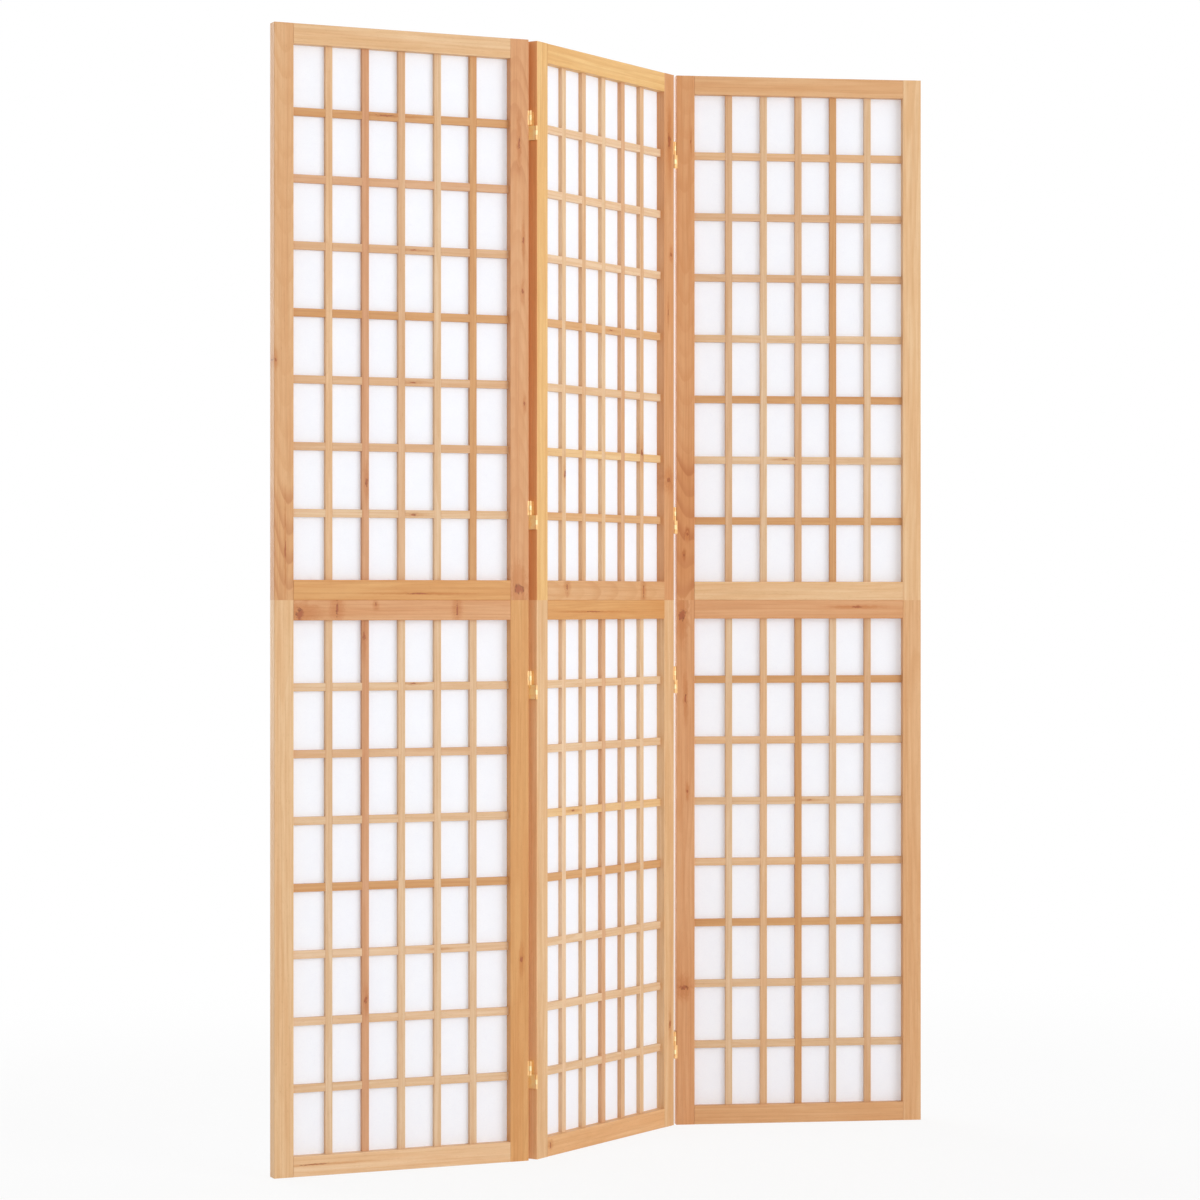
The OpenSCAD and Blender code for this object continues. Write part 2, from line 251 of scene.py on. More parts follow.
# A branch knot, oval across and along the board, with the rings flowing round it
def makeKnot():
    tree, given, result = newGroup(
        "branchKnot",
        [("Vector", "Vector", None), ("Centre", "Vector", None),
         ("Half Across", "Float", 0.004), ("Half Along", "Float", 0.006)],
        [(name, "Float") for name in ("Core", "Rim", "Halo", "Flow")],
    )
    x, _, z = parted(tree, vectorMath(tree, "SUBTRACT", given["Vector"], given["Centre"]))
    ragged = softNoise(tree, vectorMath(tree, "MULTIPLY", given["Vector"], knotShape["raggedScale"]), 2.0)
    swirl = softNoise(tree, vectorMath(tree, "MULTIPLY", given["Vector"], knotShape["swirlScale"]), 1.0)

    def bent(way, noise, amount):  # noise lies about 0.5, so half its amount comes off
        return calculate(tree, "MULTIPLY_ADD", noise, amount, calculate(tree, "SUBTRACT", way, amount / 2))

    across = bent(calculate(tree, "DIVIDE", x, given["Half Across"]), swirl, knotShape["swirl"])
    along = bent(calculate(tree, "DIVIDE", z, given["Half Along"]), ragged, knotShape["ragged"])

    def distance(stretch):
        plain = diagonal(tree, across, calculate(tree, "DIVIDE", along, stretch))
        return bent(plain, ragged, knotShape["roughEdge"])

    near, long = distance(1.0), distance(knotShape["haloStretch"])
    halo = smoothStep(tree, long, *knotShape["halo"])
    edges = (smoothStep(tree, near, *knotShape[label]) for label in ("rimInside", "rimOutside"))
    patches = smoothStep(tree, ragged, *knotShape["rimPatches"])
    push = calculate(tree, "MULTIPLY", given["Half Across"], knotShape["push"])
    feed(tree, result["Core"], smoothStep(tree, near, *knotShape["core"]))
    feed(tree, result["Rim"], calculate(tree, "MULTIPLY", calculate(tree, "MULTIPLY", *edges), patches))
    feed(tree, result["Halo"], halo)
    feed(tree, result["Flow"], calculate(tree, "MULTIPLY", calculate(tree, "MULTIPLY", halo, halo), push))
    return tree


barSeedStep = 3.7  # between the grain seeds of neighbouring bars


# Finds which of a row of bars a point is on: its place in that bar, the bar's share of the row and its seed
def makeBarFinder():
    tree, given, result = newGroup(
        "barFinder",
        [("Vector", "Vector", None), ("Pitch", "Float", 0.05), ("Count", "Float", 5.0),
         ("Seed", "Float", 0.0)],
        [("Vector", "Vector"), ("Share", "Float"), ("Seed", "Float")],
    )
    x, y, z = parted(tree, given["Vector"])
    number = calculate(tree, "ROUND", calculate(tree, "DIVIDE", x, given["Pitch"]))
    x = calculate(tree, "SUBTRACT", x, calculate(tree, "MULTIPLY", number, given["Pitch"]))
    feed(tree, result["Vector"], fedNode(tree, "ShaderNodeCombineXYZ", {"X": x, "Y": y, "Z": z}).outputs[0])
    share = calculate(tree, "DIVIDE", number, given["Count"])
    feed(tree, result["Share"], calculate(tree, "ADD", share, 0.5))
    step = calculate(tree, "MULTIPLY", number, barSeedStep)
    feed(tree, result["Seed"], calculate(tree, "ADD", given["Seed"], step))
    return tree


arrisWear = {"scale": (400.0, 400.0, 40.0), "patches": (0.3, 0.6)}  # its noise, and where that wears the wood


# Rubbed arrises of a member of the given half width and half thickness
def makeArris():
    tree, given, result = newGroup(
        "rubbedArris",
        [("Vector", "Vector", None), ("Half Width", "Float", 0.015),
         ("Half Depth", "Float", 0.010), ("Reach", "Float", 0.0016)],
        [("Mask", "Float")],
    )
    x, y, _ = parted(tree, vectorMath(tree, "ABSOLUTE", given["Vector"]))
    worn = softNoise(tree, vectorMath(tree, "MULTIPLY", given["Vector"], arrisWear["scale"]), 2.0)
    sides = []
    for way, half in ((x, "Half Width"), (y, "Half Depth")):
        inside = calculate(tree, "SUBTRACT", given[half], way)
        sides.append(smoothStep(tree, inside, given["Reach"], 0.0))
    both = calculate(tree, "MULTIPLY", *sides)
    patches = smoothStep(tree, worn, *arrisWear["patches"])
    feed(tree, result["Mask"], calculate(tree, "MULTIPLY", both, patches, clamp=True))
    return tree


# Clear-finished pine. A tint multiplies the wood's colour, and a cover lies over it, each by its share of
# a mask. Roughness and height start at a base, to which each mask adds its share.
pineLook = {
    "lateWood": (0.88, 0.76, 0.62, 1.0),
    "boldLateWood": (0.70, 0.47, 0.33, 1.0),
    "ringShare": 0.6,
    "boldShare": 0.6,
    "tints": {
        "Drift": (0.75, (0.92, 0.80, 0.68, 1.0)),
        "Mottle": (0.35, (0.93, 0.88, 0.82, 1.0)),
        "Streak": (0.50, (0.86, 0.76, 0.66, 1.0)),
        "Fibre": (0.55, (0.90, 0.87, 0.83, 1.0)),
        "Halo": (0.70, (0.82, 0.62, 0.44, 1.0)),
        "Arris": (0.60, (1.08, 1.08, 1.08, 1.0)),
    },
    "covers": {"Fleck": (0.35, (176, 118, 66)), "Core": (0.85, (166, 88, 52)), "Rim": (0.75, (122, 66, 38))},
    "roughness": (0.46, {"Fibre": 0.12, "Rings": -0.07, "Core": -0.08, "Arris": -0.06}),
    "height": (0.2, {"Fibre": 0.45, "Rings": 0.3, "Fleck": -0.4, "Rim": -0.3}),
}


# Colour, roughness and relief of planed, clear-finished pine from its masks
def makePineTone():
    masks = ("Rings", "Bold", "Fibre", "Streak", "Drift", "Mottle", "Fleck", "Core", "Rim", "Halo", "Arris")
    tree, given, result = newGroup(
        "pineTone",
        [("Wood", "Color", linear(228, 184, 132))] + [(name, "Float", 0.0) for name in masks],
        [("Color", "Color"), ("Roughness", "Float"), ("Height", "Float")],
    )

    def tinted(colour, label, atLeast=None):
        share, tint = pineLook["tints"][label]
        amount = calculate(tree, "MULTIPLY", given[label], share)
        if atLeast:
            amount = calculate(tree, "MAXIMUM", amount, given[atLeast])
        return mixColour(tree, amount, colour, mixColour(tree, 1.0, colour, tint, "MULTIPLY"))

    def covered(colour, label):
        share, cover = pineLook["covers"][label]
        return mixColour(tree, calculate(tree, "MULTIPLY", given[label], share), colour, linear(*cover))

    def summed(total, shares):
        for label, share in shares.items():
            total = calculate(tree, "MULTIPLY_ADD", given[label], share, total)
        return total

    lateShade = mixColour(tree, given["Bold"], pineLook["lateWood"], pineLook["boldLateWood"])
    lateWood = mixColour(tree, 1.0, given["Wood"], lateShade, "MULTIPLY")
    colour = tinted(given["Wood"], "Drift", atLeast="Bold")
    colour = tinted(tinted(colour, "Mottle"), "Streak")
    ringShare, boldShare = pineLook["ringShare"], pineLook["boldShare"]
    share = calculate(tree, "MULTIPLY_ADD", given["Bold"], boldShare, ringShare, clamp=True)
    colour = mixColour(tree, calculate(tree, "MULTIPLY", given["Rings"], share), colour, lateWood)
    colour = covered(tinted(colour, "Fibre"), "Fleck")
    colour = covered(covered(tinted(colour, "Halo"), "Core"), "Rim")
    feed(tree, result["Color"], tinted(colour, "Arris"))
    feed(tree, result["Roughness"], summed(*pineLook["roughness"]))
    feed(tree, result["Height"], summed(*pineLook["height"]))
    return tree


softwoodGrain, branchKnot, barFinder = makeGrain(), makeKnot(), makeBarFinder()
rubbedArris, pineTone = makeArris(), makePineTone()


def newMaterial(name):
    material = bpy.data.materials.new(name)
    material.use_nodes = True
    tree = material.node_tree
    return material, tree, tree.nodes["Principled BSDF"]


def boardCoordinates(tree, panel, middle, crosswise):  # from the middle of a board, with its grain along Z
    back = panelPlace(panel).inverted()
    turn = Matrix.Rotation(math.radians(-90), 4, "Y") if crosswise else Matrix.Identity(4)
    place = addNode(tree, "ShaderNodeTexCoord").outputs["Object"]
    for way, shift in ((back, back.translation), (turn, -(turn @ Vector(middle)))):
        given = {"Vector": place, "Location": shift, "Rotation": way.to_euler()}
        place = fedNode(tree, "ShaderNodeMapping", given, vector_type="POINT").outputs[0]
    return place


def relief(tree, shader, height, strength, depth):
    bump = fedNode(tree, "ShaderNodeBump", {"Strength": strength, "Distance": depth, "Height": height})
    feed(tree, shader.inputs["Normal"], bump.outputs[0])


# Wood tones met in the frames, as red, green and blue from 0 to 255
woodTones = {
    "pale": (234, 197, 153),
    "honey": (226, 180, 133),
    "rosy": (223, 170, 124),
    "amber": (224, 170, 110),
    "straw": (240, 199, 136),
    "russet": (216, 152, 104),
    # painted shade and bounce light for the upper end face of the middle panel in the fold
    "heart": (236, 172, 116),
    "cedar": (220, 164, 114),
    # painted colour of the lower end face of the middle panel as it looks in the shade of the fold
    "sapwood": (248, 205, 158),
    "cream": (240, 205, 165),
    "wheat": (236, 191, 141),
    "toffee": (214, 153, 88),
}
# Boards with bold arches: spacing and taper of the rings, how far across the arches peak,
# and the middle, reach and strength of the stretch where they show
flames = {
    "right_upper_left_stile": {"spacing": 0.0056, "taper": -0.13, "across": 0.004,
                               "middle": -0.30, "reach": 0.15, "strength": 1.0},
    "left_upper_left_stile": {"spacing": 0.0058, "taper": -0.14, "across": 0.003,
                              "middle": -0.35, "reach": 0.12, "strength": 0.8},
    "left_upper_right_stile": {"spacing": 0.0055, "taper": 0.13, "across": -0.004,
                               "middle": 0.30, "reach": 0.12, "strength": 0.5},
    "middle_upper_bottom_rail": {"spacing": 0.0060, "taper": 0.12, "across": 0.0,
                                 "middle": 0.02, "reach": 0.12, "strength": 0.2},
}
woodFinish = {
    # bar tones by panel: a pinker wood tone, painted lighter or darker by how much each panel faces the light
    "barTone": {"left": (222, 206, 194), "middle": (240, 228, 214), "right": (212, 200, 190)},
    "barShare": 0.25,
    "ringSpacing": 0.0034,
    "sideFrom": 0.0009,
    "sideFull": 0.0002,
    "reliefStrength": 0.35,
    "reliefDepth": 0.00025,
    "specular": 0.35,
}


def barColours(tree, panel, tones, share):  # one tone for each bar of a row, drawn towards a pinker tone painted lighter on the middle panel and darker on the right, as each panel faces the light
    ramp = addNode(tree, "ShaderNodeValToRGB")
    ramp.color_ramp.interpolation = "CONSTANT"
    stops, aim, pull = ramp.color_ramp.elements, woodFinish["barTone"][panel], woodFinish["barShare"]
    for index, tone in enumerate(tones):
        stop = stops[index] if index < 2 else stops.new(index / len(tones))
        stop.position = index / len(tones)
        stop.color = linear(*(own + (to - own) * pull for own, to in zip(woodTones[tone], aim)))
    feed(tree, ramp.inputs[0], share)
    return ramp.outputs[0]


def knotMasks(tree, whole, knots):
    sums = {"Core": 0.0, "Rim": 0.0, "Halo": 0.0, "Flow": 0.0}
    for across, along, halfAcross, halfAlong in knots:
        knot = useGroup(tree, branchKnot, Vector=whole, Centre=(across, 0, along),
                        Half_Across=halfAcross, Half_Along=halfAlong)
        for label in sums:
            if sums[label]:
                sums[label] = calculate(tree, "ADD", sums[label], knot[label], clamp=label != "Flow")
            else:
                sums[label] = knot[label]
    return sums


def pineMaterial(name, panel, middle, crosswise, halfSize, tones, seed, knots,
                 pitch=None, side=None, flame=None):
    material, tree, shader = newMaterial(name)
    board = whole = boardCoordinates(tree, panel, middle, crosswise)
    grainSeed, wood = float(seed), linear(*woodTones[tones[0]])
    if pitch:
        found = useGroup(tree, barFinder, Vector=whole, Pitch=pitch, Count=float(len(tones)), Seed=grainSeed)
        board, grainSeed = found["Vector"], found["Seed"]
        wood = barColours(tree, panel, tones, found["Share"])
    if side:  # painted shade and bounce light on the member's narrow sides, as its end face shows in the fold
        x = parted(tree, vectorMath(tree, "ABSOLUTE", board))[0]
        edges = (halfSize[0] - woodFinish[label] for label in ("sideFrom", "sideFull"))
        wood = mixColour(tree, smoothStep(tree, x, *edges), wood, linear(*woodTones[side]))
    sums = knotMasks(tree, whole, knots)
    bold, figure = 0.0, {"Ring_Spacing": woodFinish["ringSpacing"]}
    if flame:  # a stretch of the board where the rings show as bold arches
        figure = {"Ring_Spacing": flame["spacing"], "Taper": flame["taper"],
                  "Pith": flame["across"], "Wander": 0.0}
        along = calculate(tree, "SUBTRACT", parted(tree, board)[2], flame["middle"])
        away = calculate(tree, "ABSOLUTE", along)
        bold = smoothStep(tree, away, flame["reach"], flame["reach"] * 0.5, 0.0, flame["strength"])
    grain = useGroup(tree, softwoodGrain, Vector=board, Seed=grainSeed, Flow=sums.pop("Flow"), **figure)
    arris = useGroup(tree, rubbedArris, Vector=board, Half_Width=halfSize[0], Half_Depth=halfSize[1])
    masks = {label: grain[label] for label in ("Rings", *grainMasks)}
    tone = useGroup(tree, pineTone, Wood=wood, Bold=bold, Arris=arris["Mask"], **masks, **sums)
    feed(tree, shader.inputs["Base Color"], tone["Color"])
    feed(tree, shader.inputs["Roughness"], tone["Roughness"])
    shader.inputs["Specular IOR Level"].default_value = woodFinish["specular"]
    relief(tree, shader, tone["Height"], woodFinish["reliefStrength"], woodFinish["reliefDepth"])
    return material


def dress(node, material):
    nodes[node].data.materials.clear()
    nodes[node].data.materials.append(material)


# Wood of each frame. A member has its tone, a seed for its grain, and its knots in millimetres:
# across and along from its middle, half across, half along. Bars are listed from the left or from the foot.
# A last tone, where there is one, is painted on the member's narrow sides as the shade and bounce colour they
# show in the fold.
frameWood = {
    "left_upper": {
        "left_stile": ("honey", 11, [(-13, -72, 1.6, 3), (2, -352, 0.8, 16)]),
        "right_stile": ("rosy", 12, [(-2, -408, 7, 8), (-1, 268, 2, 9), (6, 120, 1.5, 6), (5, 43, 1.6, 4),
                                     (8, -127, 1.4, 3)]),
        "top_rail": ("pale", 13, []),
        "bottom_rail": ("amber", 14, [(-5, 23, 1, 16)]),
        "upright_bars": (["wheat", "russet", "honey", "pale", "toffee"], 15, [(-56, -250, 2, 6)]),
        "cross_bars": (["pale", "honey", "honey", "toffee", "honey", "rosy", "toffee"], 16,
                       [(298, -25, 1.2, 14), (99, 18, 1, 6), (-99, 18, 1.4, 5), (-297, 18, 1.6, 5)]),
    },
    "left_lower": {
        "left_stile": ("pale", 21, []),
        "right_stile": ("amber", 22, [(3, -120, 2, 5)]),
        "top_rail": ("rosy", 23, [(-6, -163, 9, 6), (3, -105, 9, 2.2), (2, 86, 10, 1.6), (8, -44, 4, 1)]),
        "bottom_rail": ("cream", 24, [(2, -140, 0.8, 22)]),
        "upright_bars": (["pale", "russet", "pale", "pale", "pale"], 25,
                         [(-60, 372, 2.4, 7), (-57, -170, 2, 5)]),
        "cross_bars": (["pale", "cream", "cream", "toffee", "pale", "honey", "pale"], 26,
                       [(300, 18, 1, 5), (-99, 60, 1.2, 4)]),
    },
    "middle_upper": {
        # its last tone is painted shade and bounce light on the stile's narrow sides
        "left_stile": ("straw", 31, [], "heart"),
        "right_stile": ("rosy", 32, [(0, 316, 4, 12), (-2, -231, 7, 4), (6, 134, 3, 3), (-3, 40, 1.5, 6)]),
        "top_rail": ("straw", 33, []),
        "bottom_rail": ("honey", 34, [(0, 108, 11, 1.6), (4, -118, 6, 2)]),
        "upright_bars": (["pale", "honey", "pale", "rosy", "honey"], 35,
                         [(-112, -230, 2.5, 6), (115, -189, 3, 5)]),
        "cross_bars": (["amber", "straw", "pale", "amber", "cream", "cream", "cream"], 36, [(0, 22, 1, 4)]),
    },
    "middle_lower": {
        "left_stile": ("pale", 41, [], "sapwood"),
        "right_stile": ("pale", 42, [(2, -260, 2, 6)]),
        "top_rail": ("amber", 43, [(-3, -40, 0.8, 22)]),
        "bottom_rail": ("wheat", 44, [(2, -165, 4, 1.5)]),
        "upright_bars": (["cream", "pale", "rosy", "honey", "pale"], 45, []),
        "cross_bars": (["pale", "pale", "pale", "toffee", "straw", "pale", "pale"], 46, [(99, -90, 1.2, 5)]),
    },
    "right_upper": {
        "left_stile": ("cedar", 51, [(9, 318, 0.9, 4), (3, -318, 2, 2.4), (-2, -352, 1.6, 2)]),
        "right_stile": ("pale", 52, []),
        "top_rail": ("honey", 53, []),
        "bottom_rail": ("pale", 54, []),
        "upright_bars": (["honey", "pale", "honey", "toffee", "pale"], 55, []),
        "cross_bars": (["toffee", "pale", "toffee", "pale", "honey", "honey", "wheat"], 56,
                       [(-196, -22, 1.2, 5)]),
    },
    "right_lower": {
        "left_stile": ("rosy", 61, [(-6, 401, 6, 9), (0, 266, 2, 8), (3, 115, 1.6, 3), (-2, -203, 6, 4)]),
        "right_stile": ("honey", 62, []),
        "top_rail": ("rosy", 63, [(4, 95, 1.5, 10)]),
        "bottom_rail": ("honey", 64, []),
        "upright_bars": (["pale", "wheat", "toffee", "pale", "honey"], 65, []),
        "cross_bars": (["pale", "pale", "toffee", "wheat", "pale", "wheat", "toffee"], 66, [(99, 18, 1, 5)]),
    },
}


def memberPlace(half, member):
    edgeX = screen["panelWidth"] / 2 - screen["memberWidth"] / 2
    edgeZ = screen["halfHeight"] / 2 - screen["memberWidth"] / 2
    barY = screen["barBack"] - screen["barThickness"] / 2
    x, y, z = {
        "left_stile": (-edgeX, 0, 0),
        "right_stile": (edgeX, 0, 0),
        "top_rail": (0, 0, edgeZ),
        "bottom_rail": (0, 0, -edgeZ),
        "upright_bars": (0, barY, 0),
        "cross_bars": (0, barY, 0),
    }[member]
    return (x, y, z + halfMiddle(half))


for frameName, members in frameWood.items():
    panel, half = frameName.split("_")
    for member, (tones, seed, knots, *side) in members.items():
        crosswise = member in ("top_rail", "bottom_rail", "cross_bars")
        wide, deep, pitch = screen["memberWidth"], screen["thickness"], None
        if member.endswith("bars"):
            wide, deep = screen["crossWidth" if crosswise else "uprightWidth"], screen["barThickness"]
            pitch = pitchUp if crosswise else pitchAcross
            tones = tones[::-1] if crosswise else tones  # a crosswise board's width runs downwards
        else:
            tones = [tones]
        flip = -1 if crosswise else 1
        inMetres = [(flip * a / 1000, b / 1000, c / 1000, d / 1000) for a, b, c, d in knots]
        name, place, halfSize = frameName + "_" + member, memberPlace(half, member), (wide / 2, deep / 2)
        dress(name, pineMaterial("pine_" + name, panel, place, crosswise, halfSize, tones, seed, inMetres,
                                 pitch, side[0] if side else None, flames.get(name)))
print("pine frames and bars:", sum(len(m) for m in frameWood.values()), "nodes")

# Beech dowels inside the rails that hold an upper frame on its lower one
dowels = {"radius": 0.004, "tone": "pale", "seed": 71}
for index, panel in enumerate(("left", "middle", "right")):
    name, seam = panel + "_dowels", (0, 0, screen["halfHeight"])
    halfSize, seed = (dowels["radius"], dowels["radius"]), dowels["seed"] + index
    dress(name, pineMaterial("beech_" + name, panel, seam, False, halfSize, [dowels["tone"]], seed, []))

# Hinge metal: satin brass, with the links and leaves painted lighter to stand in for light in the shaded
# fold, and smoother pins.
# The brush marks have a scale across and one along them; cloudScale is that of the dull patches, and tarnish
# the two values between which these rise. Brush marks and patches share the roughness.
hingeMetal = {
    "metallic": 0.45,
    "cloudScale": 130.0,
    "tarnish": (0.38, 0.68),
    "brushShare": 0.4,
    "reliefStrength": 0.12,
    "reliefDepth": 0.00008,
    # leaf and link colours are brass painted lighter, standing in for light on the hinge in the shaded fold
    "leaf": {"bright": (250, 208, 148), "dull": (243, 196, 130), "smooth": 0.46, "rough": 0.62,
             "across": 900.0, "along": 60.0},
    "link": {"bright": (255, 240, 190), "dull": (254, 228, 168), "smooth": 0.46, "rough": 0.62,
             "across": 900.0, "along": 60.0},
    "pin": {"bright": (246, 214, 156), "dull": (230, 190, 124), "smooth": 0.34, "rough": 0.46,
            "across": 260.0, "along": 1400.0},
    "screw": {"bright": (238, 200, 134), "dull": (214, 168, 98), "smooth": 0.36, "rough": 0.52,
              "across": 1300.0, "along": 1300.0},
}


def makePatina():
    tree, given, result = newGroup(
        "brassPatina",
        [("Vector", "Vector", None), ("Bright", "Color", (1, 1, 1, 1)), ("Dull", "Color", (1, 1, 1, 1)),
         ("Smooth", "Float", 0.25), ("Rough", "Float", 0.4), ("Across", "Float", 900.0),
         ("Along", "Float", 60.0)],
        [("Color", "Color"), ("Roughness", "Float"), ("Height", "Float")],
    )
    scales = {"X": given["Across"], "Y": given["Across"], "Z": given["Along"]}
    stretch = fedNode(tree, "ShaderNodeCombineXYZ", scales).outputs[0]
    brushed = softNoise(tree, vectorMath(tree, "MULTIPLY", given["Vector"], stretch), 3.0)
    evenly = (hingeMetal["cloudScale"],) * 3
    cloudy = softNoise(tree, vectorMath(tree, "MULTIPLY", given["Vector"], evenly), 2.0)
    tarnish, brush = smoothStep(tree, cloudy, *hingeMetal["tarnish"]), hingeMetal["brushShare"]
    feed(tree, result["Color"], mixColour(tree, tarnish, given["Bright"], given["Dull"]))
    mixed = calculate(tree, "MULTIPLY_ADD", brushed, brush, calculate(tree, "MULTIPLY", tarnish, 1 - brush))
    spread = calculate(tree, "SUBTRACT", given["Rough"], given["Smooth"])
    feed(tree, result["Roughness"], calculate(tree, "MULTIPLY_ADD", mixed, spread, given["Smooth"]))
    feed(tree, result["Height"], brushed)
    return tree


brassPatina = makePatina()


def brassMaterial(part):
    finish = hingeMetal[part]
    material, tree, shader = newMaterial("brass_" + part)
    place = addNode(tree, "ShaderNodeTexCoord").outputs["Object"]
    bright, dull = linear(*finish["bright"]), linear(*finish["dull"])
    patina = useGroup(tree, brassPatina, Vector=place, Bright=bright, Dull=dull,
                      Smooth=finish["smooth"], Rough=finish["rough"],
                      Across=finish["across"], Along=finish["along"])
    feed(tree, shader.inputs["Base Color"], patina["Color"])
    feed(tree, shader.inputs["Roughness"], patina["Roughness"])
    shader.inputs["Metallic"].default_value = hingeMetal["metallic"]
    relief(tree, shader, patina["Height"], hingeMetal["reliefStrength"], hingeMetal["reliefDepth"])
    return material


hingeParts = {"leaf": ("outer_leaves", "inner_leaves"), "link": ("upper_links", "lower_links"),
              "pin": ("outer_pins", "inner_pins")}
for part, pair in hingeParts.items():
    brass = brassMaterial(part)
    for fold in ("left_fold_", "right_fold_"):
        for node in pair:
            dress(fold + node, brass)
screwBrass = brassMaterial("screw")
print("brass hinges: 12 nodes")

# Countersunk screws with a cross recess, one set for each panel
screws = {
    "headRadius": 0.0027,
    "headDepth": 0.0013,
    "shankRadius": 0.0013,
    "length": 0.0125,
    "recessLength": 0.0032,
    "recessWidth": 0.0007,
    "recessDepth": 0.0008,
    "headSides": 28,
    "shankSides": 16,
    "tipShare": 0.4,
    "seed": 4,
    "hingeHeights": (0.129, 0.721, 0.979, 1.571),
    "leafFace": 0.2023,
    "offMiddle": 0.0025,
    "offHinge": 0.01075,
}


def makeScrewTree():
    tree = bpy.data.node_groups.new("hingeScrews", "GeometryNodeTree")
    sizes = ("Head Radius", "Head Depth", "Shank Radius", "Length",
             "Recess Length", "Recess Width", "Recess Depth")
    kinds = {"Geometry": "Geometry", **dict.fromkeys(sizes, "Float"), "Seed": "Int", "Material": "Material"}
    for label, kind in kinds.items():
        tree.interface.new_socket(label, in_out="INPUT", socket_type="NodeSocket" + kind)
    tree.interface.new_socket("Geometry", in_out="OUTPUT", socket_type="NodeSocketGeometry")
    given, result = addNode(tree, "NodeGroupInput").outputs, addNode(tree, "NodeGroupOutput").inputs

    def cone(sides, top, bottom, depth):
        sizes = {"Vertices": sides, "Radius Top": top, "Radius Bottom": bottom, "Depth": depth}
        return fedNode(tree, "GeometryNodeMeshCone", sizes).outputs["Mesh"]

    def sunk(mesh, depth):  # moves a mesh down
        below = calculate(tree, "MULTIPLY", depth, -1.0)
        down = fedNode(tree, "ShaderNodeCombineXYZ", {"Z": below}).outputs[0]
        return fedNode(tree, "GeometryNodeTransform", {"Geometry": mesh, "Translation": down}).outputs[0]

    def joined(*meshes):
        join = addNode(tree, "GeometryNodeJoinGeometry")
        for mesh in meshes:
            feed(tree, join.inputs[0], mesh)
        return join.outputs[0]

    head = sunk(cone(screws["headSides"], given["Head Radius"], given["Shank Radius"], given["Head Depth"]),
                given["Head Depth"])
    recess, deep = [], calculate(tree, "MULTIPLY", given["Recess Depth"], 2.0)
    for first, second in (("Recess Length", "Recess Width"), ("Recess Width", "Recess Length")):
        ways = {"X": given[first], "Y": given[second], "Z": deep}
        size = fedNode(tree, "ShaderNodeCombineXYZ", ways).outputs[0]
        recess.append(fedNode(tree, "GeometryNodeMeshCube", {"Size": size}).outputs["Mesh"])
    parts = {"Self Intersection": True, "Mesh 1": head, "Mesh 2": joined(*recess)}
    cut = fedNode(tree, "GeometryNodeMeshBoolean", parts, operation="DIFFERENCE", solver="EXACT")
    tip = calculate(tree, "MULTIPLY", given["Shank Radius"], screws["tipShare"])
    length = calculate(tree, "SUBTRACT", given["Length"], given["Head Depth"])
    shank = cone(screws["shankSides"], given["Shank Radius"], tip, length)
    whole = joined(cut.outputs["Mesh"], sunk(shank, given["Length"]))
    facing = fedNode(tree, "GeometryNodeInputNamedAttribute", {"Name": "facing"}, data_type="FLOAT_VECTOR")
    outward = {"Vector": facing.outputs["Attribute"]}
    aligned = fedNode(tree, "FunctionNodeAlignRotationToVector", outward, axis="Z")
    quarter = {3: math.pi / 2, "Seed": given["Seed"]}  # input 3 is the most that a decimal value may be
    chance = fedNode(tree, "FunctionNodeRandomValue", quarter, data_type="FLOAT")
    spin = fedNode(tree, "FunctionNodeAxisAngleToRotation", {"Angle": chance.outputs[1]})
    turns = {"Rotation": aligned.outputs[0], "Rotate By": spin.outputs[0]}
    turned = fedNode(tree, "FunctionNodeRotateRotation", turns, rotation_space="LOCAL")
    places = {"Points": given["Geometry"], "Instance": whole, "Rotation": turned.outputs[0]}
    copies = fedNode(tree, "GeometryNodeInstanceOnPoints", places)
    real = fedNode(tree, "GeometryNodeRealizeInstances", {"Geometry": copies.outputs[0]})
    finish = {"Geometry": real.outputs[0], "Material": given["Material"]}
    feed(tree, result[0], fedNode(tree, "GeometryNodeSetMaterial", finish).outputs[0])
    return tree


def plainMesh(source, name):
    solid = bpy.data.meshes.new_from_object(source.evaluated_get(bpy.context.evaluated_depsgraph_get()))
    piece = bpy.data.objects.new(name, solid)
    bpy.context.scene.collection.objects.link(piece)
    bpy.data.objects.remove(source)
    return piece


def screwPlaces(panel, sides):  # where a panel's screws sit, and which way their heads face
    turn, points, facings = panelPlace(panel), [], []
    for side in sides:
        for height in screws["hingeHeights"]:
            for up in (-1, 1):
                aside, above = -side * up * screws["offMiddle"], height + up * screws["offHinge"]
                points.append(turn @ Vector((side * screws["leafFace"], aside, above)))
                facings.append(turn.to_3x3() @ Vector((side, 0, 0)))
    return points, facings


screwTree = makeScrewTree()
for panel, sides in (("left", (1,)), ("middle", (-1, 1)), ("right", (-1,))):
    points, facings = screwPlaces(panel, sides)
    mesh = bpy.data.meshes.new("screwPoints")
    mesh.from_pydata(points, [], [])
    facing = mesh.attributes.new("facing", "FLOAT_VECTOR", "POINT")
    facing.data.foreach_set("vector", [value for way in facings for value in way])
    holder = bpy.data.objects.new("screwPoints", mesh)
    bpy.context.scene.collection.objects.link(holder)
    repeat = holder.modifiers.new("hingeScrews", "NODES")
    repeat.node_group = screwTree
    for item in screwTree.interface.items_tree:
        size = item.name[0].lower() + item.name[1:].replace(" ", "")
        if item.in_out == "INPUT" and size in screws:
            repeat[item.identifier] = screws[size]
        elif item.in_out == "INPUT" and item.name == "Material":
            repeat[item.identifier] = screwBrass
    piece = plainMesh(holder, panel + "_hinge_screws")
    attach(piece, panel + "_panel")
    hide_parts(panel + "_screws")
print("screws: 3 pieces")

